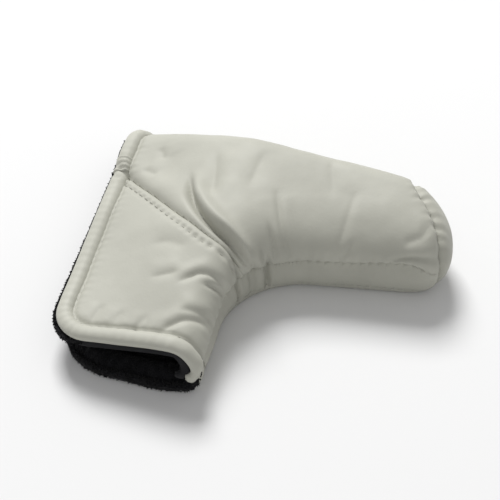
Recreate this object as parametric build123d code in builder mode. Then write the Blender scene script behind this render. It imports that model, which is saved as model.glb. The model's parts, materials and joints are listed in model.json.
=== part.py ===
from build123d import *
import os
from functools import cache
from math import atan2, ceil, degrees, dist

# A putter head cover lying flat. +X runs from the heel slit to the toe, the
# neck points to -Y, and +Z is up. The origin is the centre of the cover's
# footprint, on the surface that it lies on. All sizes are in millimetres.

# Overall shape
cover_length = 164.0
cover_depth = 140.0
neck_width = 72.0
spine_taper = 14.0
near_side_rise = 17.0
blade_depth_at_heel = 71.0
far_toe_radius = 28.0
near_toe_radius = 12.0
inner_corner_radius = 20.0
upper_wall_lean = 12.0
lower_wall_lean = 25.0

# Clear height inside the lining at the heel slit, the neck mouth, the pocket and the toe
slit_gap = 2.0
neck_mouth_height = 9.0
pocket_height = 24.0
toe_pocket_height = 18.0
heel_ramp_length = 74.0
neck_ramp_length = 94.0
toe_ramp_length = 30.0

# Layers, from the outside in
panel_thickness = 1.2
padding_thickness = 4.8
lining_thickness = 3.0

# Rolled edge round the opening
hem_width = 6.0
hem_thickness = 3.4
facing_thickness = 1.2
free_corner_radius = 10.0

# Seams, each given by where it meets the edges
diagonal_seam_from_spine = 30.0
diagonal_seam_past_corner = 9.0
toe_seam_far_length = 30.0
toe_seam_near_length = 3.0
gusset_lower_height = 5.0
gusset_upper_height = 18.0
gusset_reach = 8.0

# Neck flap, which folds up along a crease
crease_from_spine = 42.0
crease_from_neck_side = 10.0
crease_gap = 0.6

# Magnets that hold the heel slit closed
magnet_diameter = 14.0
magnet_thickness = 1.6
magnet_from_heel = 14.0
magnets_from_neck_end = (20.0, 42.0)

# Topstitching
stitch_pitch = 4.4
stitch_length = 3.0
stitch_width = 0.8
stitch_height = 0.4
stitch_clearance = 0.15
stitch_from_seam = 3.6
stitch_from_edge = 7.0

# Worked out from the sizes above
heel_x = -cover_length / 2
toe_x = cover_length / 2
neck_end_y = -cover_depth / 2
spine_heel_y = cover_depth / 2
neck_inner_x = heel_x + neck_width
inner_corner_y = spine_heel_y - blade_depth_at_heel
padding_inset = panel_thickness
lining_inset = padding_inset + padding_thickness
cavity_inset = lining_inset + lining_thickness
heel_thickness = slit_gap + 2 * cavity_inset
neck_thickness = neck_mouth_height + 2 * cavity_inset
blade_thickness = pocket_height + 2 * cavity_inset
toe_thickness = toe_pocket_height + 2 * cavity_inset
split_height = heel_thickness / 2
facing_inset = hem_thickness
edge_lining_inset = facing_inset + facing_thickness
run_out = 2 * cavity_inset
reach = 2 * (cover_length + cover_depth)

crease_heel_y = spine_heel_y - crease_from_spine
crease_neck_x = neck_inner_x - crease_from_neck_side
diagonal_seam = (
    (heel_x, spine_heel_y - diagonal_seam_from_spine),
    (neck_inner_x, inner_corner_y - diagonal_seam_past_corner),
)
toe_seam = (
    (toe_x - toe_seam_far_length, spine_heel_y),
    (toe_x - toe_seam_near_length, inner_corner_y + near_side_rise),
)
crease = ((heel_x, crease_heel_y), (crease_neck_x, neck_end_y))


def roof_slopes():
    """The slanted faces of the upper side: the height at an edge, the edge, and the rise along X and Y."""
    heel_rise = (blade_thickness - heel_thickness) / heel_ramp_length
    neck_rise = (blade_thickness - neck_thickness) / neck_ramp_length
    toe_rise = (toe_thickness - blade_thickness) / toe_ramp_length
    return (
        (heel_thickness, heel_x, 0.0, heel_rise, 0.0),
        (neck_thickness, 0.0, neck_end_y, 0.0, neck_rise),
        (toe_thickness, toe_x, 0.0, toe_rise, 0.0),
        (blade_thickness, 0.0, 0.0, 0.0, 0.0),
    )


def slope_height(slope, x, y):
    """Height of one slanted face over a point of the footprint."""
    height, edge_x, edge_y, rise_x, rise_y = slope
    return height + rise_x * (x - edge_x) + rise_y * (y - edge_y)


def slope_normal(slope):
    """The upward direction square to one slanted face."""
    return Vector(-slope[3], -slope[4], 1).normalized()


def tangent_plane(x, y, lift, heading=0.0):
    """A plane along the upper side at a point, raised by lift and turned to a heading."""
    slope = min(roof_slopes(), key=lambda face: slope_height(face, x, y))
    normal = slope_normal(slope)
    along = Vector(1, 0, 0).rotate(Axis.Z, heading)
    level = along - normal * along.dot(normal)
    surface_point = Vector(x, y, slope_height(slope, x, y))
    return Plane(origin=surface_point + normal * lift, x_dir=level, z_dir=normal)


@cache
def pouch(inset):
    """The closed L shape, moved inwards by one distance on every side and run past its open ends.

    Its walls lean inwards, above and below the height where the two sides meet.
    """
    spine_slope = spine_taper / cover_length
    start_x = heel_x - run_out
    far_toe = (toe_x, spine_heel_y - spine_taper)
    near_toe = (toe_x, inner_corner_y + near_side_rise)
    inner_corner = (neck_inner_x, inner_corner_y)
    rounded = (
        (far_toe, far_toe_radius),
        (near_toe, near_toe_radius),
        (inner_corner, inner_corner_radius),
    )
    with BuildSketch(Plane.XY.offset(split_height)) as footprint:
        with BuildLine():
            Polyline(
                (start_x, spine_heel_y + spine_slope * run_out),
                far_toe,
                near_toe,
                inner_corner,
                (neck_inner_x, neck_end_y - run_out),
                (start_x, neck_end_y - run_out),
                close=True,
            )
        make_face()
        for corner, radius in rounded:
            fillet(footprint.vertices().sort_by_distance(corner)[0], radius=radius)
        offset(amount=-inset)
    with BuildPart() as body:
        extrude(footprint.sketch, amount=blade_thickness, taper=upper_wall_lean)
        extrude(footprint.sketch, amount=inset - split_height, taper=lower_wall_lean)
        for slope in roof_slopes():
            height = slope_height(slope, 0, 0) - inset
            split(bisect_by=Plane(origin=(0, 0, height), z_dir=slope_normal(slope)), keep=Keep.BOTTOM)
    return body.part


@cache
def layer(outer_inset, inner_inset):
    """The material between two depths under the outer face."""
    with BuildPart() as shell:
        add(pouch(outer_inset))
        add(pouch(inner_inset), mode=Mode.SUBTRACT)
    return shell.part


@cache
def left_of(line, shift=0.0):
    """Everything to the left of a line across the footprint, starting a distance from it."""
    start, end = line
    heading = degrees(atan2(end[1] - start[1], end[0] - start[0]))
    with BuildPart(Plane(origin=(*start, 0)).rotated((0, 0, heading))) as region:
        with Locations((0, shift, 0)):
            Box(reach, reach, reach, align=(Align.CENTER, Align.MIN, Align.CENTER))
    return region.part


@cache
def free_edge_block(back):
    """The footprint up to the heel and neck openings, stopping a distance short of both."""
    with BuildPart() as block:
        with BuildSketch() as corner:
            with Locations((heel_x + back, neck_end_y + back)):
                Rectangle(reach, reach, align=(Align.MIN, Align.MIN))
            if free_corner_radius > back:
                fillet(corner.vertices().sort_by_distance((heel_x, neck_end_y))[0], free_corner_radius - back)
        extrude(amount=reach)
    return block.part


@cache
def height_slab(low, high):
    """Everything between two heights."""
    with BuildPart(Plane.XY.offset(low)) as slab:
        Box(reach, reach, high - low, align=(Align.CENTER, Align.CENTER, Align.MIN))
    return slab.part


@cache
def gusset_region():
    """The narrow strip of wall along the inner side of the L."""
    turn = (neck_inner_x - gusset_reach, inner_corner_y + gusset_reach)
    end = (reach, inner_corner_y + gusset_reach + reach * near_side_rise / (toe_x - neck_inner_x))
    with BuildPart() as strip:
        with BuildSketch(Plane.XY.offset(gusset_lower_height)):
            with BuildLine():
                Polyline((turn[0], -reach), turn, end, (reach, -reach), close=True)
            make_face()
        extrude(amount=gusset_upper_height - gusset_lower_height)
    return strip.part


def piece(label, stock, keep, drop=()):
    """Cut one named piece out of a layer, and write it."""
    with BuildPart() as cut:
        for material in stock:
            add(material)
        for region in keep:
            add(region, mode=Mode.INTERSECT)
        for region in drop:
            add(region, mode=Mode.SUBTRACT)
    cut.part.label = label
    export_step(cut.part, f"parts/{label}.step")


# Regions that the seams and the crease divide the cover into
blade_side = left_of(diagonal_seam)
neck_side = left_of(diagonal_seam[::-1])
toe_side = left_of(toe_seam)
shell_side = left_of(crease, crease_gap / 2)
flap_side = left_of(crease[::-1], crease_gap / 2)
field = free_edge_block(hem_width)
edge_block = free_edge_block(0.0)
upper = height_slab(split_height, reach)
lower = height_slab(-split_height, split_height)
gusset = gusset_region()
middle_y = (crease_heel_y + neck_end_y) / 2
heel_end = left_of(((heel_x, middle_y), (toe_x, middle_y)))


def magnet_spots():
    """Centres of the magnets over the footprint."""
    return [(heel_x + magnet_from_heel, neck_end_y + away) for away in magnets_from_neck_end]


def magnet_planes(in_flap):
    """Planes in the middle of the padding, one for each magnet."""
    depth = padding_inset + padding_thickness / 2
    if in_flap:
        return [tangent_plane(x, y, -depth) for x, y in magnet_spots()]
    return [Plane(origin=(x, y, depth)) for x, y in magnet_spots()]


@cache
def magnets(in_flap):
    """The disc magnets of one side, or the pockets in the padding that hold them."""
    with BuildPart(*magnet_planes(in_flap)) as discs:
        Cylinder(magnet_diameter / 2, magnet_thickness)
    return discs.part


def outer_panels():
    """The outer skin: panels, gusset strip and toe piece."""
    skin = [layer(0.0, padding_inset)]
    piece("upper_blade_panel", skin, [field, blade_side, upper], [toe_side, gusset])
    piece("lower_blade_panel", skin, [field, blade_side, lower], [toe_side, gusset])
    piece("upper_neck_panel", skin, [field, neck_side, upper, shell_side], [gusset])
    piece("neck_flap_panel", skin, [field, neck_side, upper, flap_side])
    piece("lower_neck_panel", skin, [field, neck_side, lower], [gusset])
    piece("side_gusset", skin, [field, gusset], [toe_side])
    piece("toe_piece", skin, [toe_side])


def padding_pieces():
    """The foam padding behind each outer piece."""
    foam = [layer(padding_inset, lining_inset)]
    piece("upper_blade_padding", foam, [field, blade_side, upper], [toe_side, gusset])
    piece("lower_blade_padding", foam, [field, blade_side, lower], [toe_side, gusset])
    piece("upper_neck_padding", foam, [field, neck_side, upper, shell_side], [gusset])
    piece("neck_flap_padding", foam, [field, neck_side, upper, flap_side], [magnets(True)])
    piece("lower_neck_padding", foam, [field, neck_side, lower], [gusset, magnets(False)])
    piece("side_gusset_padding", foam, [field, gusset], [toe_side])
    piece("toe_padding", foam, [toe_side])


def lining_pieces():
    """The pile lining, which runs under the rolled edge to the openings."""
    with BuildPart() as edge_pile:
        add(layer(edge_lining_inset, cavity_inset))
        add(edge_block, mode=Mode.INTERSECT)
        add(field, mode=Mode.SUBTRACT)
    with BuildPart() as field_pile:
        add(layer(lining_inset, cavity_inset))
        add(field, mode=Mode.INTERSECT)
    pile = [field_pile.part, edge_pile.part]
    piece("upper_blade_lining", pile, [blade_side, upper])
    piece("lower_blade_lining", pile, [blade_side, lower])
    piece("upper_neck_lining", pile, [neck_side, upper, shell_side])
    piece("neck_flap_lining", pile, [neck_side, upper, flap_side])
    piece("lower_neck_lining", pile, [neck_side, lower])


def edge_pieces():
    """The rolled edge round the openings, and the facing tape under it."""
    rings = (
        ("rolled_edge", [layer(0.0, facing_inset)]),
        ("facing", [layer(facing_inset, edge_lining_inset)]),
    )
    for name, ring in rings:
        piece(f"heel_{name}", ring, [edge_block, upper, shell_side, heel_end], [field])
        piece(f"neck_flap_{name}", ring, [edge_block, upper, flap_side], [field])
        piece(f"neck_side_{name}", ring, [edge_block, upper, shell_side], [field, heel_end])
        piece(f"lower_{name}", ring, [edge_block, lower], [field])


def magnet_pieces():
    """The magnets, sealed in the padding of the flap and of the lower side."""
    for label, in_flap in (("neck_flap_magnets", True), ("lower_magnets", False)):
        piece(label, [magnets(in_flap)], [])


def stitch_planes(start, end):
    """Planes on the upper side for a straight row of stitches."""
    heading = degrees(atan2(end[1] - start[1], end[0] - start[0]))
    count = ceil(dist(start, end) / stitch_pitch)
    lift = stitch_clearance + stitch_height / 2
    planes = []
    for number in range(count):
        share = (number + 0.5) / count
        x = start[0] + (end[0] - start[0]) * share
        y = start[1] + (end[1] - start[1]) * share
        planes.append(tangent_plane(x, y, lift, heading))
    return planes


def stitches(label, rows):
    """Write straight rows of topstitching, each given by its two ends, as one piece."""
    planes = [plane for start, end in rows for plane in stitch_planes(start, end)]
    with BuildPart(*planes) as thread:
        Box(stitch_length, stitch_width, stitch_height)
    thread.part.label = label
    export_step(thread.part, f"parts/{label}.step")


def stitch_pieces():
    """The topstitching of the diagonal seam and beside the rolled edge."""
    (seam_x, seam_y), (inner_x, inner_y) = diagonal_seam
    edge_x = heel_x + stitch_from_edge
    edge_y = neck_end_y + stitch_from_edge
    drop_y = stitch_from_seam * dist(*diagonal_seam) / neck_width
    seam_rise = (inner_y - seam_y) / neck_width
    seam_start_x = edge_x + stitch_pitch
    seam_end_x = inner_x - gusset_reach
    seam_ends = [
        (x, seam_y - drop_y + seam_rise * (x - seam_x)) for x in (seam_start_x, seam_end_x)
    ]
    corner = free_corner_radius
    heel_top_row = ((edge_x, crease_heel_y + stitch_pitch), (edge_x, spine_heel_y - corner - stitch_pitch))
    flap_heel_row = ((edge_x, crease_heel_y - stitch_pitch), (edge_x, neck_end_y + corner))
    flap_neck_row = ((heel_x + corner, edge_y), (crease_neck_x - 2 * stitch_pitch, edge_y))
    stitches("diagonal_seam_stitches", [seam_ends])
    stitches("heel_edge_stitches", [heel_top_row])
    stitches("neck_flap_edge_stitches", [flap_heel_row, flap_neck_row])


os.makedirs("parts", exist_ok=True)
outer_panels()
padding_pieces()
lining_pieces()
edge_pieces()
magnet_pieces()
stitch_pieces()
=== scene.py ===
"""A padded putter head cover, built as panels, padding, lining, rolled edges and thread."""

import json
import math
import random

import bmesh
import bpy
import numpy as np
from mathutils import Matrix, Vector, noise


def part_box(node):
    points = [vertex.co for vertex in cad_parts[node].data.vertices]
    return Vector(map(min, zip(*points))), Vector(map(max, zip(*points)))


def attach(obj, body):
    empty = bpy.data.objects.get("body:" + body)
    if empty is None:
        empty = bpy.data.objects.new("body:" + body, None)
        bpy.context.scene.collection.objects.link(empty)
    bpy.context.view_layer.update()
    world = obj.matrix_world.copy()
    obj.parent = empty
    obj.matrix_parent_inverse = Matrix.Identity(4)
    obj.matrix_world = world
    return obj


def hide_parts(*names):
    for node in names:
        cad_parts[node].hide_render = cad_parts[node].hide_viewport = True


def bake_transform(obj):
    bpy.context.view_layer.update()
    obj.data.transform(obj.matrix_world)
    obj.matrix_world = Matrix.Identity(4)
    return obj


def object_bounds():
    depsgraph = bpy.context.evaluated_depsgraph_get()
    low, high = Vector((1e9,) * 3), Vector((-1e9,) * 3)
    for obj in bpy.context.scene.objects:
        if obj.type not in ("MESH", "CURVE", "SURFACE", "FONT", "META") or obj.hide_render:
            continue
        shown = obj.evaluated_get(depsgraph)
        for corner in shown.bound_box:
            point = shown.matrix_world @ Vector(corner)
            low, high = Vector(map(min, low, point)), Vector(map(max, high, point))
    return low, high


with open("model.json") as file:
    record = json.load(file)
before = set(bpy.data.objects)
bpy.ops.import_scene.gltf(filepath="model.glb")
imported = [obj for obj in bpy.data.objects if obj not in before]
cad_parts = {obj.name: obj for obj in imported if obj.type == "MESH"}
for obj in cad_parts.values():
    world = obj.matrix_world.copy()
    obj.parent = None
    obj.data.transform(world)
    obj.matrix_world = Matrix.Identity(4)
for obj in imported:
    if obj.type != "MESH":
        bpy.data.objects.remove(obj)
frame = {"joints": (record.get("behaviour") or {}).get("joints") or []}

bl_info = {
    "name": "Putter Head Cover",
    "version": (1, 0, 0),
    "blender": (4, 5, 0),
    "location": "View3D > Sidebar > Head Cover",
    "description": "Builds the soft pieces of a padded putter head cover over its CAD frame",
    "category": "Add Mesh",
}

MM = 0.001
CAD_LOW, CAD_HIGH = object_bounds()
COVER, FLAP = "cover", "neck_flap"
JOINT = frame["joints"][0]

# The footprint's corners, as shares of its length and depth, each with the radius
# that rounds it in mm, from the heel past the toe to the neck. The first and last
# run past the openings.
FOOTPRINT = (
    (-0.12, 1.03, 0), (0.99, 0.885, 31), (1.0, 0.60, 13), (0.45, 0.50, 36), (0.45, -0.14, 0),
)


def at(u, v):
    """A place on the footprint from its shares of the cover's length and depth."""
    return np.array((
        CAD_LOW.x + u * (CAD_HIGH.x - CAD_LOW.x),
        CAD_LOW.y + v * (CAD_HIGH.y - CAD_LOW.y),
    ))


def smooth(value, low=0.0, high=1.0):
    """Rise from 0 to 1 between low and high, level at both ends."""
    share = np.clip((value - low) / (high - low), 0.0, 1.0)
    return share * share * (3 - 2 * share)


def curve_through(points, per_span=8):
    """A smooth polyline through a few points."""
    points = np.asarray(points, float)
    padded = np.vstack((2 * points[0] - points[1], points, 2 * points[-1] - points[-2]))
    share = np.linspace(0, 1, per_span, endpoint=False)[:, None]
    spans = []
    for a, b, c, d in zip(padded, padded[1:], padded[2:], padded[3:]):
        spans.append(0.5 * (
            2 * b + (c - a) * share + (2 * a - 5 * b + 4 * c - d) * share**2
            + (3 * b - a - 3 * c + d) * share**3
        ))
    return np.vstack(spans + [points[-1:]])


def nearest_on(line, places):
    """For each place: its distance to a polyline, how far along that is, and the side it is on."""
    span = np.diff(line, axis=0)
    length = np.linalg.norm(span, axis=1)
    start = np.concatenate(([0], np.cumsum(length)[:-1]))
    middle = (line[:-1] + line[1:]) / 2
    apart = -2 * places @ middle.T + (middle ** 2).sum(1)
    closest = np.argmin(apart, axis=1)
    best = np.full(len(places), np.inf)
    along = np.zeros(len(places))
    side = np.zeros(len(places))
    for shift in (0, -1, 1):
        i = np.clip(closest + shift, 0, len(span) - 1)
        offset = places - line[i]
        share = np.clip((offset * span[i]).sum(1) / length[i] ** 2, 0, 1)
        gap = offset - share[:, None] * span[i]
        reach = np.linalg.norm(gap, axis=1)
        closer = reach < best - 1e-12
        best[closer] = reach[closer]
        along[closer] = (start[i] + share * length[i])[closer]
        cross = span[i, 0] * offset[:, 1] - span[i, 1] * offset[:, 0]
        side[closer] = np.sign(cross[closer])
    return best, along, side


def shares(places):
    """How far along and across the footprint places are, from 0 to 1."""
    low = np.array((CAD_LOW.x, CAD_LOW.y))
    high = np.array((CAD_HIGH.x, CAD_HIGH.y))
    split = (places - low) / (high - low)
    return split[:, 0], split[:, 1]


def line_at(points, per_span=8):
    """A smooth line on the footprint, from points given as shares."""
    return curve_through([at(u, v) for u, v in points], per_span)


def corner_arc(before, corner, after, radius, spacing):
    """The arc that rounds one corner, tangent to the runs on both sides of it."""
    inward = (before - corner) / np.linalg.norm(before - corner)
    onward = (after - corner) / np.linalg.norm(after - corner)
    turn = math.pi - math.acos(float(inward @ onward))
    middle = (inward + onward) / np.linalg.norm(inward + onward)
    centre = corner + middle * radius / math.cos(turn / 2)
    x, y = corner + inward * radius * math.tan(turn / 2) - centre
    hand = np.sign(inward[1] * onward[0] - inward[0] * onward[1])
    angles = hand * np.linspace(0, turn, max(2, math.ceil(radius * turn / spacing)))
    cos, sin = np.cos(angles), np.sin(angles)
    return centre + np.column_stack((cos * x - sin * y, sin * x + cos * y))


def rounded_line(corners, spacing=0.0015):
    """Straight runs between corners, joined by arcs, as points at even spacing."""
    points = [at(u, v) for u, v, radius in corners]
    arcs = [
        corner_arc(before, corner, after, radius * MM, spacing)
        for before, corner, after, (u, v, radius) in zip(points, points[1:], points[2:], corners[1:])
    ]
    line = np.vstack(points[:1] + arcs + points[-1:])
    run = np.concatenate(([0], np.cumsum(np.linalg.norm(np.diff(line, axis=0), axis=1))))
    even = np.linspace(0, run[-1], math.ceil(run[-1] / spacing))
    return np.column_stack([np.interp(even, run, line[:, i]) for i in (0, 1)])


OUTLINE = rounded_line(FOOTPRINT)
RUN = np.concatenate(([0], np.cumsum(np.linalg.norm(np.diff(OUTLINE, axis=0), axis=1))))


def run_at(u, v):
    """How far along the outline its nearest point to a place is."""
    return nearest_on(OUTLINE, at(u, v)[None])[1][0]


TOE_START, TOE_END, NEAR_START, NECK_START = (
    run_at(0.92, 0.83), run_at(1.0, 0.65), run_at(0.94, 0.59), run_at(0.5, 0.45))

# The free edge of the upper half, and then of the lower: corners and radii down
# the heel, round the free corner and along the neck's end.
UPPER_EDGE = (
    (0.10, 1.12, 0), (0.005, 0.95, 15), (0.03, 0.055, 17), (0.38, 0.05, 40), (0.54, 0.0, 0),
)
LOWER_EDGE = (
    (0.10, 1.12, 0), (0.015, 0.95, 15), (0.055, 0.05, 22), (0.36, 0.035, 40), (0.54, 0.11, 0),
)
# The seam between the blade's panel and the neck's, from the heel to the inner corner.
DIAGONAL = ((-0.06, 0.86), (0.14, 0.67), (0.29, 0.52), (0.42, 0.43), (0.62, 0.43))
# The seam of the toe piece, from the spine round to the near side.
TOE_SEAM = ((0.83, 1.05), (0.85, 0.86), (0.92, 0.73), (0.96, 0.65), (1.03, 0.58))


def build_height(u, v):
    """How thick the cover stands at a place, in millimetres."""
    crest = 27 + 14.5 * smooth(v, -0.02, 0.62)
    height = 20 + (crest - 20) * smooth(u, -0.02, 0.44)
    slope = np.clip((0.85 - v) / 0.34, 0, 1.2)
    height = height - 7.5 * smooth(u, 0.36, 0.60) * slope ** 1.3
    height = height + 2.6 * smooth(v, 0.72, 0.95) * (1 - smooth(u, 0.12, 0.36))
    return height - 3.5 * smooth(u, 0.80, 1.02)


def side_shares(run):
    """Shares for the near blade side, the neck side and the toe by the run of the outline."""
    toe_start, near_start = TOE_START, NEAR_START
    neck_start = NECK_START
    near = smooth(run, near_start - 0.008, near_start + 0.010)
    toe = smooth(run, toe_start - 0.02, toe_start + 0.01) * (1 - near)
    neck = smooth(run, neck_start - 0.012, neck_start + 0.012)
    return near, neck, toe


def base_skin(places, upper):
    """Round a flat half of the cover into its padded form: places and outward normals."""
    reach, run, side = nearest_on(OUTLINE, places)
    inside = np.maximum(reach * -side, 0.0)
    u, v = shares(places)
    near, neck, toe = side_shares(run)
    height = build_height(u, v) * MM
    ring = 0.50 * height + near * (1 - neck) * (0.045 + 0.13 * smooth(u, 0.72, 0.97)) * height
    ring = ring + neck * 0.03 * height
    top_run = (14.0 + 3.0 * toe + 11.0 * near - 12.0 * neck) * MM
    low_run = (8.0 + 1.5 * toe - 2.0 * near) * MM
    radius = top_run if upper else low_run
    turn = 0.5 * math.pi * np.clip(inside / radius, 0, 1)
    outward = np.where(inside < radius, inside - radius * (1 - np.cos(turn)), 0.0)
    away = outline_normal(run)
    moved = places + away * outward[:, None]
    rise = height - ring if upper else ring
    z = ring + rise * np.sin(turn) if upper else ring * (1 - np.sin(turn))
    flat_part = radius * np.sin(turn)
    out = away * (rise * np.cos(turn))[:, None]
    if upper:
        out -= height_slope(places) * flat_part[:, None]
    normal = np.column_stack((out, flat_part if upper else -flat_part))
    normal /= np.maximum(np.linalg.norm(normal, axis=1), 1e-12)[:, None]
    return np.column_stack((moved, z)), normal, inside, run


def height_slope(places):
    """How steeply the cover's height rises along its length and depth."""
    step = 0.001
    here = build_height(*shares(places))
    east = build_height(*shares(places + np.array((step, 0)))) - here
    north = build_height(*shares(places + np.array((0, step)))) - here
    return np.column_stack((east, north)) * MM / step


def outline_normal(run):
    """The outward direction of the outline at a run."""
    step = 0.004
    x = np.interp(run + step, RUN, OUTLINE[:, 0]) - np.interp(run - step, RUN, OUTLINE[:, 0])
    y = np.interp(run + step, RUN, OUTLINE[:, 1]) - np.interp(run - step, RUN, OUTLINE[:, 1])
    away = np.column_stack((-y, x))
    return away / np.maximum(np.linalg.norm(away, axis=1), 1e-9)[:, None]


# Folds pressed into the upper skin: points, half width, depth, ridge beside it (mm).
UPPER_FOLDS = (
    (((0.24, 0.76), (0.28, 0.62), (0.36, 0.50), (0.44, 0.45), (0.51, 0.47)), 1.9, 6.0, 3.0),
    (((0.30, 0.85), (0.34, 0.60)), 3.4, 1.3, 0.8),
    (((0.50, 0.70), (0.54, 0.58), (0.59, 0.52)), 1.7, 0.9, 0.3),
    (((0.49, 0.60), (0.54, 0.50)), 1.5, 1.0, 0.4),
    (((0.48, 0.53), (0.52, 0.48)), 1.4, 1.2, 0.5),
    (((0.72, 0.76), (0.69, 0.55)), 1.9, 0.45, 0.2),
    (((0.74, 0.64), (0.70, 0.54)), 1.6, 0.7, 0.3),
    (((0.98, 0.64), (0.90, 0.62), (0.82, 0.58)), 1.6, 1.3, 0.7),
    (((0.94, 0.69), (0.86, 0.65)), 1.8, 0.6, 0.3),
    (((0.32, 0.27), (0.38, 0.32), (0.46, 0.34)), 1.7, 1.4, 0.55),
    (((0.24, 0.29), (0.33, 0.32)), 2.2, 0.7, 0.3),
    (((0.31, 0.09), (0.37, 0.15), (0.44, 0.20)), 1.9, 1.3, 0.6),
    (((0.35, 0.18), (0.44, 0.21)), 2.0, 1.0, 0.6),
    (((0.38, 0.28), (0.46, 0.34)), 1.5, 1.5, 0.9),
    (((0.09, 0.78), (0.15, 0.74)), 2.4, 0.8, 0.4),
    (((0.12, 0.88), (0.15, 0.81)), 2.4, 0.8, 0.4),
    (((0.20, 0.42), (0.26, 0.43), (0.33, 0.40)), 4.5, 0.8, 0.5),
    (((0.13, 0.10), (0.15, 0.19)), 1.8, 0.45, 0.3),
    (((0.19, 0.09), (0.21, 0.17)), 1.8, 0.4, 0.25),
    (((0.25, 0.08), (0.28, 0.16)), 1.8, 0.45, 0.3),
    (((0.62, 0.88), (0.66, 0.70)), 3.0, 0.5, 0.3),
    (((0.44, 0.86), (0.43, 0.66)), 4.0, 0.8, 0.6),
)
LOWER_FOLDS = (
    (((0.49, 0.44), (0.54, 0.51)), 1.6, 2.4, 1.2),
    (((0.49, 0.43), (0.46, 0.36)), 1.6, 2.0, 1.0),
)


def line_length(line):
    return np.linalg.norm(np.diff(line, axis=0), axis=1).sum()


def folds(places, table):
    """How far folds press the skin in, or raise it, at each place."""
    push = np.zeros(len(places))
    for points, width, depth, ridge in table:
        line = line_at(points)
        reach, along, side = nearest_on(line, places)
        total = line_length(line)
        taper = smooth(along, 0, 0.35 * total) * smooth(total - along, 0, 0.30 * total)
        valley = 0.8 * np.exp(-(reach / (width * MM)) ** 2)
        valley += 0.35 * np.exp(-(reach / (0.4 * width * MM)) ** 2)
        crest = np.exp(-((reach * side - 2.1 * width * MM) / (1.7 * width * MM)) ** 2)
        push += (ridge * crest - depth * valley) * taper * MM
    return push


def seam_pull(places, line, width=2.2, depth=1.3, pitch=4.2, pucker=0.55):
    """A sewn line: a rounded groove, pulled deeper at every stitch."""
    reach, along, _ = nearest_on(line, places)
    length = line_length(line)
    ends = smooth(along, 0.0, 0.001) * (1 - smooth(along, length - 0.001, length))
    groove = np.exp(-(reach / (width * MM)) ** 2)
    wide = np.exp(-(reach / (2.4 * width * MM)) ** 2)
    wave = 0.5 + 0.5 * np.cos(2 * math.pi * along / (pitch * MM))
    wobble = 0.6 + 0.4 * np.sin(along / MM * 0.61) * np.sin(along / MM * 0.23 + 1.3)
    return -(depth * groove + pucker * wide * wave * wobble) * MM * ends


def wrinkles(points, seed):
    """Soft unevenness of padded material: broad swells and finer creases."""
    out = np.empty(len(points))
    for i, p in enumerate(points):
        q = Vector(p) + Vector((seed, 0, 0))
        broad = noise.noise(q * 27.0)
        middle = noise.noise(q * 85.0 + Vector((3, 7, 1)))
        fine = noise.noise(q * 210.0 + Vector((9, 2, 5)))
        out[i] = 0.6 * broad + 0.32 * middle + 0.07 * fine
    return out * MM


DIAGONAL_LINE, TOE_LINE = line_at(DIAGONAL), line_at(TOE_SEAM)
UPPER_LINE, LOWER_LINE = rounded_line(UPPER_EDGE), rounded_line(LOWER_EDGE)
TOPSTITCH_SET = 3.6
HEM = 6.8


def skin(places, upper, lift=0.0, detail=True):
    """The cover's outer skin over flat places, raised by lift along its normal."""
    here, normal, inside, run = base_skin(places, upper)
    push = np.zeros(len(places)) + lift
    if detail:
        push = push + relief(places, here, inside, run, upper)
    return here + normal * push[:, None], normal


def ripple(run, pitch):
    """A wave along a seam that dips at every stitch."""
    return 0.5 + 0.5 * np.cos(2 * math.pi * run / (pitch * MM))


def relief(places, here, inside, run, upper):
    """How far folds, seams and wrinkles move the skin at each place."""
    near = side_shares(run)[0]
    table = UPPER_FOLDS if upper else LOWER_FOLDS
    own = folds(places, table)
    reach, along, _ = nearest_on(UPPER_LINE if upper else LOWER_LINE, places)
    off = (reach - (HEM + 0.2) * MM) / MM
    own -= (0.7 * np.exp(-(off / 1.5) ** 2) + 0.9 * np.exp(-(off / 0.7) ** 2)) * MM
    beyond = np.exp(-((off - 1.8) / 2.8) ** 2) * (0.5 + 0.5 * np.sin(along * 210) ** 2)
    own -= 0.3 * MM * ripple(along, 4.3) * beyond
    if upper:
        reach, along, side = nearest_on(DIAGONAL_LINE, places)
        signed = reach * side / MM
        own -= (1.0 * np.exp(-(signed / 2.0) ** 2) + 0.9 * np.exp(-(signed / 0.8) ** 2)) * MM
        sewn = np.exp(-((signed + TOPSTITCH_SET) / 1.3) ** 2)
        own -= (0.5 + 0.9 * ripple(along, 4.3)) * MM * sewn
        own += 1.3 * MM * np.exp(-((signed - 6) / 5) ** 2)
    own = own * smooth(inside, 0.0005, 0.005)
    shared = wrinkles(here, 0.0)
    shared += seam_pull(places, TOE_LINE, 1.2, 2.1, 4.4, 1.1)
    shared -= near * 2.9 * MM * np.exp(-(inside / (1.35 * MM)) ** 2)
    shared -= near * (0.55 if upper else 0.15) * MM * ripple(run, 4.6) * np.exp(-(inside / (5 * MM)) ** 2)
    bend = np.exp(-((run - NECK_START) / (9 * MM)) ** 2)
    pinch = np.exp(-((run - NECK_START + 7 * MM) / (0.9 * MM)) ** 2)
    pinch += np.exp(-((run - NECK_START - 8 * MM) / (0.9 * MM)) ** 2)
    pinch += 0.6 * np.exp(-((run - NECK_START) / (1.5 * MM)) ** 2)
    shared -= (3.2 * pinch + 1.2 * bend) * MM * np.exp(-(inside / (6.5 * MM)) ** 2)
    push = own + shared
    if not upper:
        push = push * smooth(here[:, 2], 0.001, 0.007)
    return push


def values(bm, field):
    """Write a field's value at each flat place into the mesh's height."""
    places = np.array([v.co[:2] for v in bm.verts])
    for vert, value in zip(bm.verts, field(places)):
        vert.co.z = value


def keep_where(bm, field):
    """Cut the flat grid along the field's zero line and keep its positive side."""
    values(bm, field)
    bmesh.ops.bisect_plane(
        bm, geom=bm.verts[:] + bm.edges[:] + bm.faces[:], dist=1e-7,
        plane_co=(0, 0, 0), plane_no=(0, 0, 1), clear_inner=True,
    )


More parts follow.
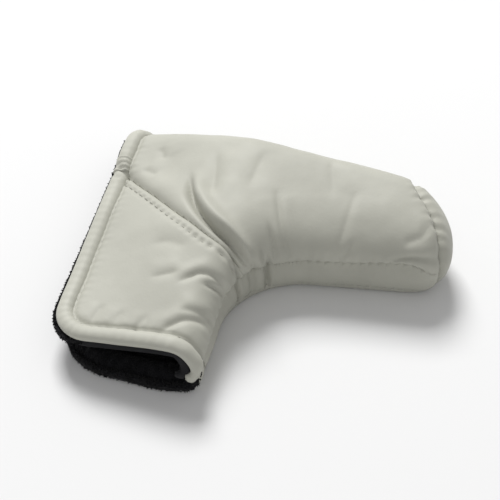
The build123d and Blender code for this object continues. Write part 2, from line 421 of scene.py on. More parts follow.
def flat_grid(cell):
    """A flat grid over the whole footprint, with room outside it."""
    bm = bmesh.new()
    spread = (CAD_HIGH - CAD_LOW) * 0.53
    middle = (CAD_HIGH + CAD_LOW) * 0.5
    bmesh.ops.create_grid(
        bm, x_segments=round(2 * spread.x / cell), y_segments=round(2 * spread.y / cell),
        size=1.0, matrix=Matrix.Translation((middle.x, middle.y, 0)) @ Matrix.Diagonal(
            (spread.x, spread.y, 1, 1)),
    )
    return bm


def within(places):
    reach, _, side = nearest_on(OUTLINE, places)
    return -reach * side


def beside(line, sign=1.0, inset=0.0):
    """A field that is positive on the line's left side, or its right, past the inset."""
    def field(places):
        reach, _, side = nearest_on(line, places)
        return reach * side * sign - inset
    return field


def height_above(level):
    """A field that is positive where the lower half stands above a level."""
    def field(places):
        return base_skin(places, False)[0][:, 2] - level
    return field




def near_side(places):
    """Positive along the inner L of the outline, from the toe seam to the neck end."""
    return nearest_on(OUTLINE, places)[1] - TOE_END


def skin_piece(name, upper, fields, lift=0.0, cell=0.85, fuzz=0.0):
    """One cut piece of the cover's skin, as a mesh object."""
    bm = flat_grid(cell * MM)
    keep_where(bm, within)
    for field in fields:
        keep_where(bm, field)
    places = np.array([v.co[:2] for v in bm.verts])
    raised = np.full(len(places), lift * MM)
    if fuzz:
        raised += pile_noise(places) * fuzz * MM
    for vert, point in zip(bm.verts, skin(places, upper, raised)[0]):
        vert.co = point
    if not upper:
        bmesh.ops.reverse_faces(bm, faces=bm.faces[:])
    bmesh.ops.remove_doubles(bm, verts=bm.verts[:], dist=2e-5)
    return as_object(bm, name)


def pile_noise(places):
    return np.array([
        noise.noise(Vector((p[0], p[1], 0.3)) * 420.0) + 0.6 * noise.noise(
            Vector((p[0], p[1], 0.7)) * 150.0)
        for p in places
    ])


def as_object(bm, name):
    for face in bm.faces:
        face.smooth = True
    mesh = bpy.data.meshes.new(name)
    bm.to_mesh(mesh)
    bm.free()
    piece = bpy.data.objects.new(name, mesh)
    bpy.context.scene.collection.objects.link(piece)
    return piece


def thicken(piece, thickness):
    wall = piece.modifiers.new("padding", "SOLIDIFY")
    wall.thickness = thickness * MM
    wall.offset = -1.0
    return piece


def stations(line, spacing, start=0.0, end=None):
    """Places at even spacing along a line, with the direction of travel at each."""
    length = np.concatenate(([0], np.cumsum(np.linalg.norm(np.diff(line, axis=0), axis=1))))
    end = length[-1] if end is None else end
    count = max(int((end - start) / spacing) + 1, 2)
    run = np.linspace(start, end, count)
    places = np.column_stack([np.interp(run, length, line[:, i]) for i in (0, 1)])
    ahead = np.column_stack([np.interp(run + 0.001, length, line[:, i]) for i in (0, 1)])
    behind = np.column_stack([np.interp(run - 0.001, length, line[:, i]) for i in (0, 1)])
    travel = ahead - behind
    travel /= np.linalg.norm(travel, axis=1)[:, None]
    return run, places, travel


def covered_span(line):
    """The run where a free edge line enters the outline, and where it leaves."""
    run, places, _ = stations(line, 0.0005)
    inside = within(places) > 0.0001
    return run[inside][0], run[inside][-1]


def sweep(bm, line, profile, upper, spacing=1.3, swell=0.0, pitch=4.0, fuzz=0.0, span=None,
          shift=None, drop=0.0):
    """Draw a closed profile (inward from the edge, outward from the skin) along a free edge."""
    start, end = span or covered_span(line)
    run, places, travel = stations(line, spacing * MM, start, end)
    inward = np.column_stack((-travel[:, 1], travel[:, 0]))
    aside = shift(places) if shift else np.zeros(len(run))
    rings = []
    for inset, lift in profile:
        raised = np.full(len(run), lift * MM)
        raised += swell * MM * np.cos(2 * math.pi * run / (pitch * MM)) * (lift > 0)
        if fuzz:
            raised += fuzz * MM * np.array([
                noise.noise(Vector((r * 420, inset * 0.9, lift * 0.9))) for r in run])
        points, _ = skin(places + inward * (inset + aside)[:, None] * MM, upper, raised)
        rings.append(points)
    rings = np.array(rings)
    if drop:
        below = np.array((0, 0, -drop * MM))
        rings = np.concatenate(
            (rings[:, :1] + below, rings, rings[:, -1:] + below), axis=1)
    mark = bm.verts.layers.int.new("order")
    first = [bm.verts.new(p) for p in rings[:, 0]]
    for order, vert in enumerate(first):
        vert[mark] = order
    bm.faces.new(first if upper else first[::-1])
    edges = list({e for v in first for e in v.link_edges})
    for i in range(1, rings.shape[1]):
        made = bmesh.ops.extrude_edge_only(bm, edges=edges)["geom"]
        fresh = [g for g in made if isinstance(g, bmesh.types.BMVert)]
        for vert in fresh:
            vert.co = rings[vert[mark], i]
        kept = set(fresh)
        edges = [g for g in made if isinstance(g, bmesh.types.BMEdge) and all(
            v in kept for v in g.verts)]
    bmesh.ops.contextual_create(bm, geom=edges)
    bmesh.ops.recalc_face_normals(bm, faces=bm.faces[:])


ROLL = (
    (6.9, -0.9), (6.4, 0.2), (5.2, 0.8), (3.6, 1.05), (2.0, 0.95), (0.7, 0.5), (-0.3, -0.4),
    (-0.8, -1.6), (-0.5, -2.9), (0.5, -3.8), (2.2, -4.2), (4.4, -4.2), (6.4, -3.9), (6.9, -2.4),
)
TAB = (
    (7.1, -0.9), (6.5, 0.4), (5.2, 1.1), (3.6, 1.4), (2.0, 1.3), (0.6, 0.8), (-0.7, -0.4),
    (-1.4, -1.8), (-1.5, -3.4), (-1.3, -5.4), (0.6, -6.2), (2.4, -4.4), (4.4, -4.3), (7.1, -2.4),
)
FLAT_ROLL = (
    (6.9, -0.9), (6.4, -0.3), (5.2, 0.0), (3.6, 0.0), (2.0, 0.0), (0.7, -0.3), (-0.3, -1.0),
    (-0.6, -1.9), (-0.4, -2.8), (0.5, -3.6), (2.2, -4.0), (4.4, -4.0), (6.4, -3.8), (6.9, -2.4),
)
TAPE = (
    (2.4, -4.0), (1.2, -4.1), (0.6, -4.8), (0.35, -6.0), (0.45, -7.4), (1.0, -8.4), (2.2, -8.8),
    (2.6, -7.0), (2.7, -5.2),
)
LOW_TAPE = (
    (2.4, -3.6), (1.0, -3.7), (0.5, -4.0), (0.4, -4.4), (0.9, -4.9), (2.4, -5.1), (2.7, -4.4),
)
PILE_ROLL = (
    (9.0, -5.0), (8.0, -8.6), (6.0, -9.8), (3.6, -9.6), (1.4, -8.4), (-0.3, -6.8), (-1.5, -5.0),
    (-2.1, -3.2), (-2.0, -1.6), (-0.9, -0.8), (1.0, -3.6), (4.0, -4.6),
)
PEEK = (
    (5.0, -4.4), (2.0, -4.2), (0.0, -3.6), (-1.2, -2.8), (-1.9, -3.4), (-1.9, -5.0), (-1.0, -6.6),
    (1.4, -7.8), (4.0, -8.4), (5.4, -6.4),
)


def under_tuck(places):
    """The lower lining stops short of the edge at the free corner."""
    u, v = shares(places)
    return 0.2 + 0.3 * (1 - smooth(u, 0.08, 0.2)) * (1 - smooth(v, 0.12, 0.3))


def heel_peek(places):
    """The lining stands out past the rolled edge at the heel and hides at the neck's end."""
    u, v = shares(places)
    low_down = 1 - smooth(v, 0.08, 0.75)
    return 0.0 - 0.5 * low_down + 3.8 * smooth(u, 0.075, 0.14)


def tufts(name, line, upper, inset, lift, length, count, seed, spread=1.2, shift=None):
    """Short locks of pile standing out of an edge."""
    start, end = covered_span(line)
    draw = random.Random(seed)
    runs = sorted(draw.uniform(start, end) for _ in range(count))
    total = np.concatenate(([0], np.cumsum(np.linalg.norm(np.diff(line, axis=0), axis=1))))
    places = np.column_stack([np.interp(runs, total, line[:, i]) for i in (0, 1)])
    ahead = np.column_stack([np.interp(np.array(runs) + 0.001, total, line[:, i]) for i in (0, 1)])
    travel = ahead - places
    travel /= np.linalg.norm(travel, axis=1)[:, None]
    inward = np.column_stack((-travel[:, 1], travel[:, 0]))
    sway = np.array([draw.uniform(-spread, spread) for _ in runs]) * 0.5 + inset
    if shift:
        sway = sway + shift(places)
    heights = np.array([draw.uniform(lift[0], lift[1]) for _ in runs])
    roots, normals = skin(places + inward * (sway * MM)[:, None], upper, heights * MM, False)
    turns = []
    for root, normal, way in zip(roots, normals, inward):
        out = Vector((-way[0], -way[1], 0)) + Vector(normal) * draw.uniform(-0.7, 0.5)
        out += Vector((draw.uniform(-0.7, 0.7), draw.uniform(-0.7, 0.7), draw.uniform(-0.4, 0.4)))
        tall = draw.uniform(0.6, 1.0) * length * MM
        turn = out.normalized().to_track_quat("Z", "X").to_matrix().to_4x4()
        scale = Matrix.Diagonal((LOCK_WIDTH, LOCK_WIDTH, tall, 1))
        turns.append(Matrix.Translation(Vector(root)) @ turn @ scale)
    return repeated(name, turns, lock)


LOCK_WIDTH = 0.00034


def lock(bm, matrix):
    bmesh.ops.create_cone(bm, cap_ends=True, segments=5, radius1=1.0, radius2=0.2, depth=1.0,
                          matrix=matrix @ Matrix.Translation((0, 0, 0.35)))


def stitch(bm, matrix):
    bmesh.ops.create_uvsphere(bm, u_segments=8, v_segments=5, radius=1.0, matrix=matrix)


def repeated(name, turns, build, batch=60):
    """Many copies of one small shape, made a batch at a time."""
    whole = bmesh.new()
    for first in range(0, len(turns), batch):
        part = bmesh.new()
        for matrix in turns[first:first + batch]:
            build(part, matrix)
        mesh = bpy.data.meshes.new("batch")
        part.to_mesh(mesh)
        part.free()
        whole.from_mesh(mesh)
        bpy.data.meshes.remove(mesh)
    return as_object(whole, name)


def thread(name, line, upper, offset, pitch, lift, span=None, length=2.4):
    """A row of sewn stitches along a line."""
    start, end = span or covered_span(line)
    _, places, travel = stations(line, pitch * MM, start, end)
    inward = np.column_stack((-travel[:, 1], travel[:, 0]))
    places = places + inward * offset * MM
    middle, normals = skin(places, upper, lift * MM)
    ahead, _ = skin(places + travel * MM, upper, lift * MM)
    turns = []
    for centre, tip, normal in zip(middle, ahead, normals):
        along = (Vector(tip) - Vector(centre)).normalized()
        up = (Vector(normal) - along * Vector(normal).dot(along)).normalized()
        turn = Matrix((along, up.cross(along), up)).transposed().to_4x4()
        scale = Matrix.Diagonal((length * 0.5 * MM, 0.40 * MM, 0.34 * MM, 1))
        turns.append(Matrix.Translation(Vector(centre)) @ turn @ scale)
    return repeated(name, turns, stitch)


def node(tree, kind, **settings):
    made = tree.nodes.new(kind)
    for name, value in settings.items():
        setattr(made, name, value)
    return made


def shader_group(name, inputs, outputs):
    """An empty shader node group with named sockets."""
    tree = bpy.data.node_groups.new(name, "ShaderNodeTree")
    for label, kind, default in inputs:
        socket = tree.interface.new_socket(label, in_out="INPUT", socket_type=kind)
        if default is not None:
            socket.default_value = default
    for label, kind in outputs:
        tree.interface.new_socket(label, in_out="OUTPUT", socket_type=kind)
    return tree, node(tree, "NodeGroupInput"), node(tree, "NodeGroupOutput")


def tone_group():
    """Slow drift between two tones with faint rubbed specks."""
    tree, enter, leave = shader_group(
        "soft_tone",
        (("Vector", "NodeSocketVector", None), ("Tone", "NodeSocketColor", (0.5, 0.5, 0.5, 1)),
         ("Shade", "NodeSocketColor", (0.4, 0.4, 0.4, 1)), ("Scale", "NodeSocketFloat", 40.0)),
        (("Color", "NodeSocketColor"), ("Mask", "NodeSocketFloat")),
    )
    drift = node(tree, "ShaderNodeTexNoise")
    drift.inputs["Detail"].default_value = 5.0
    spread = node(tree, "ShaderNodeMapRange")
    spread.inputs["From Min"].default_value = 0.35
    spread.inputs["From Max"].default_value = 0.68
    mix = node(tree, "ShaderNodeMix", data_type="RGBA")
    link = tree.links.new
    link(enter.outputs["Vector"], drift.inputs["Vector"])
    link(enter.outputs["Scale"], drift.inputs["Scale"])
    link(drift.outputs["Fac"], spread.inputs["Value"])
    link(spread.outputs["Result"], mix.inputs["Factor"])
    link(enter.outputs["Tone"], mix.inputs["A"])
    link(enter.outputs["Shade"], mix.inputs["B"])
    link(mix.outputs["Result"], leave.inputs["Color"])
    link(spread.outputs["Result"], leave.inputs["Mask"])
    return tree


def grain_group():
    """Fine pebbled grain with broader leathery creasing."""
    tree, enter, leave = shader_group(
        "leather_grain",
        (("Vector", "NodeSocketVector", None), ("Grain", "NodeSocketFloat", 900.0),
         ("Crease", "NodeSocketFloat", 170.0)),
        (("Height", "NodeSocketFloat"),),
    )
    cells = node(tree, "ShaderNodeTexVoronoi", feature="SMOOTH_F1")
    crease = node(tree, "ShaderNodeTexNoise")
    crease.inputs["Detail"].default_value = 6.0
    crease.inputs["Roughness"].default_value = 0.6
    part = node(tree, "ShaderNodeMath", operation="MULTIPLY")
    part.inputs[1].default_value = 0.35
    total = node(tree, "ShaderNodeMath", operation="ADD")
    link = tree.links.new
    link(enter.outputs["Vector"], cells.inputs["Vector"])
    link(enter.outputs["Grain"], cells.inputs["Scale"])
    link(enter.outputs["Vector"], crease.inputs["Vector"])
    link(enter.outputs["Crease"], crease.inputs["Scale"])
    link(cells.outputs["Distance"], part.inputs[0])
    link(part.outputs[0], total.inputs[0])
    link(crease.outputs["Fac"], total.inputs[1])
    link(total.outputs[0], leave.inputs["Height"])
    return tree


def pile_group():
    """Clumped strands of deep pile."""
    tree, enter, leave = shader_group(
        "pile_clumps",
        (("Vector", "NodeSocketVector", None), ("Strands", "NodeSocketFloat", 1400.0),
         ("Clumps", "NodeSocketFloat", 330.0)),
        (("Height", "NodeSocketFloat"), ("Mask", "NodeSocketFloat")),
    )
    strands = node(tree, "ShaderNodeTexNoise")
    strands.inputs["Detail"].default_value = 8.0
    clumps = node(tree, "ShaderNodeTexVoronoi", feature="F1")
    total = node(tree, "ShaderNodeMath", operation="ADD")
    link = tree.links.new
    link(enter.outputs["Vector"], strands.inputs["Vector"])
    link(enter.outputs["Strands"], strands.inputs["Scale"])
    link(enter.outputs["Vector"], clumps.inputs["Vector"])
    link(enter.outputs["Clumps"], clumps.inputs["Scale"])
    link(strands.outputs["Fac"], total.inputs[0])
    link(clumps.outputs["Distance"], total.inputs[1])
    link(total.outputs[0], leave.inputs["Height"])
    link(clumps.outputs["Distance"], leave.inputs["Mask"])
    return tree


def use_group(tree, name, build):
    made = node(tree, "ShaderNodeGroup")
    made.node_tree = bpy.data.node_groups.get(name) or build()
    return made


def finish_material(name, tone, shade, rough, scale, relief_group, build, strength, depth,
                    sheen=0.0, sheen_rough=0.5, metallic=0.0, spread=0.06, gloss=0.5):
    """A material whose colour drifts between two tones over a fine relief."""
    known = bpy.data.materials.get(name)
    if known:
        return known
    material = bpy.data.materials.new(name)
    material.use_nodes = True
    tree = material.node_tree
    surface = tree.nodes["Principled BSDF"]
    place = node(tree, "ShaderNodeTexCoord").outputs["Object"]
    colour = use_group(tree, "soft_tone", tone_group)
    colour.inputs["Tone"].default_value = (*tone, 1)
    colour.inputs["Shade"].default_value = (*shade, 1)
    colour.inputs["Scale"].default_value = scale
    grain = use_group(tree, relief_group, build)
    bump = node(tree, "ShaderNodeBump")
    bump.inputs["Strength"].default_value = strength
    bump.inputs["Distance"].default_value = depth * MM
    polish = node(tree, "ShaderNodeMapRange")
    polish.inputs["To Min"].default_value = rough - spread
    polish.inputs["To Max"].default_value = rough + spread
    link = tree.links.new
    link(place, colour.inputs["Vector"])
    link(place, grain.inputs["Vector"])
    link(colour.outputs["Color"], surface.inputs["Base Color"])
    link(colour.outputs["Mask"], polish.inputs["Value"])
    link(polish.outputs["Result"], surface.inputs["Roughness"])
    link(grain.outputs["Height"], bump.inputs["Height"])
    link(bump.outputs["Normal"], surface.inputs["Normal"])
    surface.inputs["Metallic"].default_value = metallic
    surface.inputs["Specular IOR Level"].default_value = gloss
    surface.inputs["Sheen Weight"].default_value = sheen
    surface.inputs["Sheen Roughness"].default_value = sheen_rough
    return material


def leather(colours, name="grey_leather", lighter=1.0):
    tone = [c * lighter for c in colours.leather[:3]]
    shade = [c * 0.93 for c in tone]
    return finish_material(name, tone, shade, 0.62, 38.0, "leather_grain", grain_group, 0.35, 0.25,
                           sheen=0.05, gloss=0.35)


def pile(colours):
    tone = list(colours.pile[:3])
    shade = [c * 0.35 for c in tone]
    return finish_material("black_pile", tone, shade, 0.95, 260.0, "pile_clumps", pile_group, 1.0,
                           1.2, sheen=0.06, sheen_rough=0.5, spread=0.04, gloss=0.15)


def tape(colours):
    tone = list(colours.tape[:3])
    shade = [c * 0.6 for c in tone]
    return finish_material("black_tape", tone, shade, 0.75, 90.0, "leather_grain", grain_group, 0.3,
                           0.15, sheen=0.03, gloss=0.25)


# Thread material: its grey is darker than the leather, painted shade of the stitch holes on thread of the
# leather's own colour.
def thread_finish_with_painted_shade(colours):
    tone = list(colours.thread[:3])
    shade = [c * 0.8 for c in tone]
    return finish_material("thread_with_painted_stitch_shade", tone, shade, 0.6, 700.0, "leather_grain", grain_group,
                           0.5, 0.1, sheen=0.2)


def plated():
    return finish_material("plated_steel", (0.62, 0.61, 0.58), (0.5, 0.49, 0.47), 0.3, 120.0,
                           "leather_grain", grain_group, 0.08, 0.05, metallic=1.0)


def crease():
    """Two points across the flap's fold, on the cover's side and the flap's."""
    centre = Vector(JOINT["pos_m"]) if "pos_m" in JOINT else Vector(JOINT["pos"])
    axis = Vector(JOINT["axis"]).normalized()
    toward = Vector((axis.y, -axis.x, 0))
    heel_corner = Vector((CAD_LOW.x, CAD_LOW.y, centre.z))
    if (heel_corner - centre).dot(toward) < 0:
        toward = -toward
    reach = 0.012
    return centre - toward * reach, centre + toward * reach


def settle(piece, material, body=COVER, replaced=()):
    piece.data.materials.append(material)
    if body == "both":
        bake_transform(piece)
    else:
        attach(piece, body)
    if replaced:
        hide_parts(*replaced)
    return piece


class HeadCoverSizes(bpy.types.PropertyGroup):
    padding: bpy.props.FloatProperty(
        name="Padding", description="Thickness of a panel with its padding, in millimetres",
        default=4.4, min=2.0, max=8.0)
    cell: bpy.props.FloatProperty(
        name="Mesh size", description="Cell size of the sewn panels, in millimetres",
        default=0.85, min=0.5, max=4.0)
    roll_swell: bpy.props.FloatProperty(
        name="Edge swell", description="How far the rolled edge puffs between stitches",
        default=0.12, min=0.0, max=0.6)
    stitch_pitch: bpy.props.FloatProperty(
        name="Stitch pitch", description="Distance between stitches, in millimetres",
        default=4.3, min=2.0, max=8.0)
    lining_lift: bpy.props.FloatProperty(
        name="Lining depth", description="Depth of the lining under the outer skin",
        default=5.4, min=3.0, max=9.0)
    camera_reach: bpy.props.FloatProperty(
        name="Camera distance", description="Distance from the camera to the cover",
        default=0.6905, unit="LENGTH")
    camera_turn: bpy.props.FloatProperty(
        name="Camera turn", description="Turn of the camera about the cover",
        default=math.radians(15), subtype="ANGLE")
    camera_rise: bpy.props.FloatProperty(
        name="Camera rise", description="Height angle of the camera above the floor",
        default=math.radians(47), subtype="ANGLE")


class HeadCoverColours(bpy.types.PropertyGroup):
    leather: bpy.props.FloatVectorProperty(
        name="Leather", description="Warm grey of the outer skin", subtype="COLOR", size=4,
        default=(0.455, 0.453, 0.395, 1.0), min=0, max=1)
    pile: bpy.props.FloatVectorProperty(
        name="Pile", description="Black of the lining", subtype="COLOR", size=4,
        default=(0.0045, 0.0045, 0.006, 1.0), min=0, max=1)
    tape: bpy.props.FloatVectorProperty(
        name="Facing tape", description="Black of the tape inside the openings",
        subtype="COLOR", size=4, default=(0.0075, 0.0075, 0.0095, 1.0), min=0, max=1)
    # The thread grey is set a little darker than the leather: painted shade standing in for the dark
    # stitch holes.
    thread: bpy.props.FloatVectorProperty(
        name="Thread", description="Grey of the sewing thread", subtype="COLOR", size=4,
        default=(0.41, 0.405, 0.355, 1.0), min=0, max=1)
    floor: bpy.props.FloatVectorProperty(
        name="Floor", description="Pale floor", subtype="COLOR", size=4,
        default=(0.80, 0.80, 0.80, 1.0), min=0, max=1)


def settings(context):
    return context.scene.head_cover_sizes, context.scene.head_cover_colours


HEM_CUT = (HEM - 0.6) * MM
MAGNET_RADIUS, MAGNET_DEPTH, MAGNET_LIFT, MAGNET_INSET = 0.007, 0.0016, -0.0036, 0.008


class HEADCOVER_OT_upper_panels(bpy.types.Operator):
    """Build the padded blade and neck panels of the upper half"""
    bl_idname = "head_cover.upper_panels"
    bl_label = "Upper panels"

    def execute(self, context):
        sizes, colours = settings(context)
        hem = beside(UPPER_LINE, 1, HEM_CUT)
        blade = skin_piece("upper_blade", True, (
            hem, beside(DIAGONAL_LINE), beside(TOE_LINE, -1)), cell=sizes.cell)
        neck = skin_piece("upper_neck", True, (hem, beside(DIAGONAL_LINE, -1)), cell=sizes.cell)
        thicken(blade, sizes.padding)
        thicken(neck, sizes.padding)
        skin_finish = leather(colours)
        settle(blade, skin_finish,
               replaced=("upper_blade_panel", "upper_blade_padding"))
        settle(neck, skin_finish, "both", replaced=(
            "upper_neck_panel", "upper_neck_padding", "neck_flap_panel", "neck_flap_padding"))
        return {"FINISHED"}


class HEADCOVER_OT_lower_panels(bpy.types.Operator):
    """Build the padded blade and neck panels of the lower half"""
    bl_idname = "head_cover.lower_panels"
    bl_label = "Lower panels"

    def execute(self, context):
        sizes, colours = settings(context)
        hem = beside(LOWER_LINE, 1, HEM_CUT)
        low = lower_field()
        blade = skin_piece("lower_blade", False, (
            hem, beside(DIAGONAL_LINE), beside(TOE_LINE, -1), low), cell=sizes.cell)
        neck = skin_piece("lower_neck", False, (
            hem, beside(DIAGONAL_LINE, -1), low), cell=sizes.cell)
        for piece, nodes in (
            (blade, ("lower_blade_panel", "lower_blade_padding")),
            (neck, ("lower_neck_panel", "lower_neck_padding")),
        ):
            thicken(piece, sizes.padding)
            settle(piece, leather(colours), replaced=nodes)
        return {"FINISHED"}


def gusset_field(places):
    """Positive on the lower half's standing wall along the inner L and the toe."""
    near = smooth(near_side(places), -0.004, 0.004) * 2 - 1
    tall = height_above(0.0045)(places) * 200
    return np.minimum(near, tall)


def lower_field():
    return lambda places: -gusset_field(places)


class HEADCOVER_OT_side_gusset(bpy.types.Operator):
    """Build the gusset along the inner side"""
    bl_idname = "head_cover.side_gusset"
    bl_label = "Side gusset"

    def execute(self, context):
        sizes, colours = settings(context)
        gusset = skin_piece("side_gusset_strip", False, (
            gusset_field, beside(TOE_LINE, -1), beside(LOWER_LINE, 1, HEM_CUT)),
            cell=0.7 * sizes.cell)
        thicken(gusset, sizes.padding)
        settle(gusset, leather(colours),
               replaced=("side_gusset", "side_gusset_padding"))
        return {"FINISHED"}


class HEADCOVER_OT_toe(bpy.types.Operator):
    """Build the gathered toe piece"""
    bl_idname = "head_cover.toe"
    bl_label = "Toe piece"

    def execute(self, context):
        sizes, colours = settings(context)
        upper = skin_piece("toe_cap", True, (beside(TOE_LINE),), cell=sizes.cell)
        lower = skin_piece("toe_low", False, (beside(TOE_LINE),), cell=sizes.cell)
        bm = bmesh.new()
        bm.from_mesh(upper.data)
        bm.from_mesh(lower.data)
        bmesh.ops.remove_doubles(bm, verts=bm.verts[:], dist=5e-5)
        bm.to_mesh(upper.data)
        bm.free()
        bpy.data.objects.remove(lower)
        thicken(upper, sizes.padding)
        settle(upper, leather(colours),
               replaced=("toe_piece", "toe_padding"))
        return {"FINISHED"}


class HEADCOVER_OT_rolled_edges(bpy.types.Operator):
    """Build the rolled edges round the openings"""
    bl_idname = "head_cover.rolled_edges"
    bl_label = "Rolled edges"

    def execute(self, context):
        sizes, colours = settings(context)
        finish = leather(colours, "edge_leather", 1.06)
        for name, line, profile, upper, body, nodes in (
            ("upper_edge_roll", UPPER_LINE, ROLL, True, "both",
             ("heel_rolled_edge", "neck_side_rolled_edge", "neck_flap_rolled_edge")),
            ("lower_edge_roll", LOWER_LINE, FLAT_ROLL, False, COVER, ("lower_rolled_edge",)),
        ):
            bm = bmesh.new()
            sweep(bm, line, profile, upper, 1.1, sizes.roll_swell, sizes.stitch_pitch,
                  drop=2.2 if upper else -1.6)
            settle(as_object(bm, name), finish, body, replaced=nodes)
        bm = bmesh.new()
        crossing = nearest_on(UPPER_LINE, at(0.008, 0.800)[None])[1][0]
        reach = 3.6 * MM
        sweep(bm, UPPER_LINE, TAB, True, 0.6, 0.3, 2.4, span=(crossing - reach, crossing + reach))
        settle(as_object(bm, "seam_tab"), finish)
        return {"FINISHED"}


class HEADCOVER_OT_facings(bpy.types.Operator):
    """Build the facing tapes inside the openings"""
    bl_idname = "head_cover.facings"
    bl_label = "Facing tapes"

    def execute(self, context):
        sizes, colours = settings(context)
        for name, line, profile, upper, body, nodes in (
            ("upper_tape", UPPER_LINE, TAPE, True, "both",
             ("heel_facing", "neck_side_facing", "neck_flap_facing")),
            ("lower_tape", LOWER_LINE, LOW_TAPE, False, COVER, ("lower_facing",)),
        ):
            bm = bmesh.new()
            sweep(bm, line, profile, upper, 1.6, drop=2.0 if upper else -1.0)
            settle(as_object(bm, name), tape(colours), body, replaced=nodes)
        return {"FINISHED"}


class HEADCOVER_OT_linings(bpy.types.Operator):
    """Build the deep pile linings and their fringes"""
    bl_idname = "head_cover.linings"
    bl_label = "Pile linings"

    def execute(self, context):
        sizes, colours = settings(context)
        finish = pile(colours)
        lift = -sizes.lining_lift
        for name, upper, line, side, nodes, body in (
            ("blade_lining_top", True, UPPER_LINE, 1, ("upper_blade_lining",), COVER),
            ("neck_lining_top", True, UPPER_LINE, -1,
             ("upper_neck_lining", "neck_flap_lining"), "both"),
            ("blade_lining_under", False, LOWER_LINE, 1, ("lower_blade_lining",), COVER),
            ("neck_lining_under", False, LOWER_LINE, -1, ("lower_neck_lining",), COVER),
        ):
            piece = skin_piece(name, upper, (
                beside(line, 1, 2.5 * MM), beside(DIAGONAL_LINE, side)), lift, 1.5, 0.7)
            thicken(piece, 2.2)
            settle(piece, finish, body, replaced=nodes)
        for name, line, profile, upper, body, shift in (
            ("upper_pile_edge", UPPER_LINE, PEEK, True, "both", heel_peek),
            ("lower_pile_edge", LOWER_LINE, PILE_ROLL, False, COVER, under_tuck),
        ):
            bm = bmesh.new()
            sweep(bm, line, profile, upper, 1.0, fuzz=0.7, shift=shift)
            settle(as_object(bm, name), finish, body)
        fringe = tufts("lower_pile_fringe", LOWER_LINE, False, -1.2, (-7.0, -0.6), 1.1, 5200, 5, 1.2,
                       under_tuck)
        settle(fringe, finish)
        fringe = tufts("upper_pile_fringe", UPPER_LINE, True, -1.2, (-6.5, -3.2), 1.2, 3600, 9, 1.0,
                       heel_peek)
        settle(fringe, finish, "both")
        return {"FINISHED"}


class HEADCOVER_OT_stitching(bpy.types.Operator):
    """Sew the seams and the rolled edges"""
    bl_idname = "head_cover.stitching"
    bl_label = "Stitching"

    def execute(self, context):
        sizes, colours = settings(context)
        finish = thread_finish_with_painted_shade(colours)
        start = nearest_on(DIAGONAL_LINE, at(0.055, 0.76)[None])[1][0]
        end = nearest_on(DIAGONAL_LINE, at(0.47, 0.425)[None])[1][0]
        row = thread("seam_thread", DIAGONAL_LINE, True, -TOPSTITCH_SET, sizes.stitch_pitch, 0.0,
                     (start, end))
        settle(row, finish, replaced=("diagonal_seam_stitches",))
        row = thread("edge_thread", UPPER_LINE, True, HEM + 0.3, sizes.stitch_pitch, -0.05)
        settle(row, finish, "both",
               replaced=("heel_edge_stitches", "neck_flap_edge_stitches"))
        return {"FINISHED"}


class HEADCOVER_OT_magnets(bpy.types.Operator):
    """Set the hidden magnets between the padding and the lining"""
    bl_idname = "head_cover.magnets"
    bl_label = "Magnets"

    def execute(self, context):
        for name, upper, node_name, body in (
            ("flap_magnet_pair", True, "neck_flap_magnets", FLAP),
            ("under_magnet_pair", False, "lower_magnets", COVER),
        ):
            low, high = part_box(node_name)
            radius = MAGNET_RADIUS
            bm = bmesh.new()
            for y in (low[1] + radius, high[1] - radius):
                place = np.array(((low[0] + high[0]) / 2 + MAGNET_INSET, y + MAGNET_INSET))[None]
                points, normals = skin(place, upper, MAGNET_LIFT, False)
                turn = Vector(normals[0]).to_track_quat("Z", "X").to_matrix().to_4x4()
                disc = bmesh.ops.create_cone(
                    bm, cap_ends=True, segments=40, radius1=radius, radius2=radius,
                    depth=MAGNET_DEPTH, matrix=Matrix.Translation(Vector(points[0])) @ turn)
                rims = [e for e in {e for v in disc["verts"] for e in v.link_edges} if any(
                    len(f.verts) > 4 for f in e.link_faces)]
                bmesh.ops.bevel(bm, geom=rims, offset=0.0003, segments=2, profile=0.5,
                                affect="EDGES", material=-1)
            settle(as_object(bm, name), plated(), body, replaced=(node_name,))
        return {"FINISHED"}


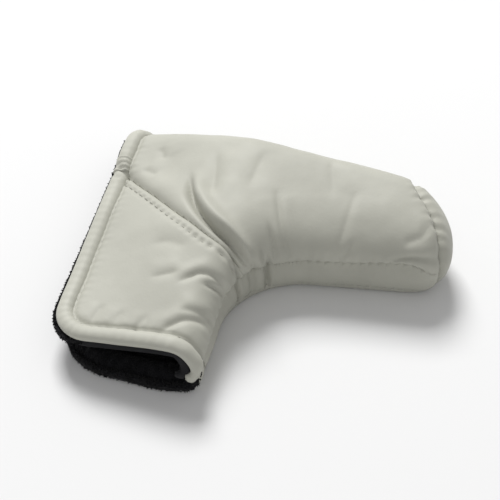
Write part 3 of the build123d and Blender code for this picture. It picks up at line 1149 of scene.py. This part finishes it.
class HEADCOVER_OT_stage(bpy.types.Operator):
    """Lay the floor, set the lights and place the camera"""
    bl_idname = "head_cover.stage"
    bl_label = "Stage"

    def execute(self, context):
        sizes, colours = settings(context)
        scene = context.scene
        bm = bmesh.new()
        bmesh.ops.create_grid(bm, x_segments=8, y_segments=8, size=4.0)
        floor = as_object(bm, "floor")
        paint = bpy.data.materials.new("floor_white")
        paint.use_nodes = True
        surface = paint.node_tree.nodes["Principled BSDF"]
        surface.inputs["Base Color"].default_value = colours.floor
        surface.inputs["Roughness"].default_value = 0.9
        surface.inputs["Specular IOR Level"].default_value = 0.1
        floor.data.materials.append(paint)
        world = bpy.data.worlds.new("soft_sky")
        world.use_nodes = True
        sky = world.node_tree.nodes["Background"]
        sky.inputs["Color"].default_value = (1.0, 1.0, 1.0, 1)
        sky.inputs["Strength"].default_value = 0.40
        scene.world = world
        centre = Vector(((CAD_LOW.x + CAD_HIGH.x) / 2, (CAD_LOW.y + CAD_HIGH.y) / 2, 0))
        for name, place, width, power in (
            ("key", (-1.05, 1.95, 2.5), 1.3, 118.0),
            ("fill", (0.3, -2.2, 1.6), 2.2, 6.0),
        ):
            lamp = bpy.data.lights.new(name, "AREA")
            lamp.size = width
            lamp.energy = power
            light = bpy.data.objects.new(name, lamp)
            light.location = centre + Vector(place)
            light.rotation_euler = (-Vector(place)).to_track_quat("-Z", "Y").to_euler()
            scene.collection.objects.link(light)
        turn, rise = sizes.camera_turn, sizes.camera_rise
        back = Vector((
            math.sin(turn) * math.cos(rise), -math.cos(turn) * math.cos(rise), math.sin(rise)))
        target = Vector((-0.0072, 0.01055, 0.0144))
        camera = bpy.data.cameras.new("camera")
        camera.lens = 110
        eye = bpy.data.objects.new("camera", camera)
        eye.location = target + back * sizes.camera_reach
        eye.rotation_euler = back.to_track_quat("Z", "Y").to_euler()
        scene.collection.objects.link(eye)
        scene.camera = eye
        scene.view_settings.view_transform = "Standard"
        return {"FINISHED"}


OPERATORS = (
    HEADCOVER_OT_stage,
    HEADCOVER_OT_upper_panels,
    HEADCOVER_OT_lower_panels,
    HEADCOVER_OT_side_gusset,
    HEADCOVER_OT_toe,
    HEADCOVER_OT_rolled_edges,
    HEADCOVER_OT_facings,
    HEADCOVER_OT_linings,
    HEADCOVER_OT_stitching,
    HEADCOVER_OT_magnets,
)


class HEADCOVER_PT_panel(bpy.types.Panel):
    """Sizes, colours and the pieces to build"""
    bl_idname = "HEADCOVER_PT_panel"
    bl_label = "Putter Head Cover"
    bl_space_type = "VIEW_3D"
    bl_region_type = "UI"
    bl_category = "Head Cover"

    def draw(self, context):
        for group in settings(context):
            for name in group.__annotations__:
                self.layout.prop(group, name)
        for operator in OPERATORS:
            self.layout.operator(operator.bl_idname)


CLASSES = (HeadCoverSizes, HeadCoverColours, *OPERATORS, HEADCOVER_PT_panel)


def register():
    for item in CLASSES:
        bpy.utils.register_class(item)
    bpy.types.Scene.head_cover_sizes = bpy.props.PointerProperty(type=HeadCoverSizes)
    bpy.types.Scene.head_cover_colours = bpy.props.PointerProperty(type=HeadCoverColours)


def unregister():
    del bpy.types.Scene.head_cover_sizes
    del bpy.types.Scene.head_cover_colours
    for item in reversed(CLASSES):
        bpy.utils.unregister_class(item)


def main():
    register()
    for operator in OPERATORS:
        group, name = operator.bl_idname.split(".")
        getattr(getattr(bpy.ops, group), name)()


if __name__ == "__main__":
    main()
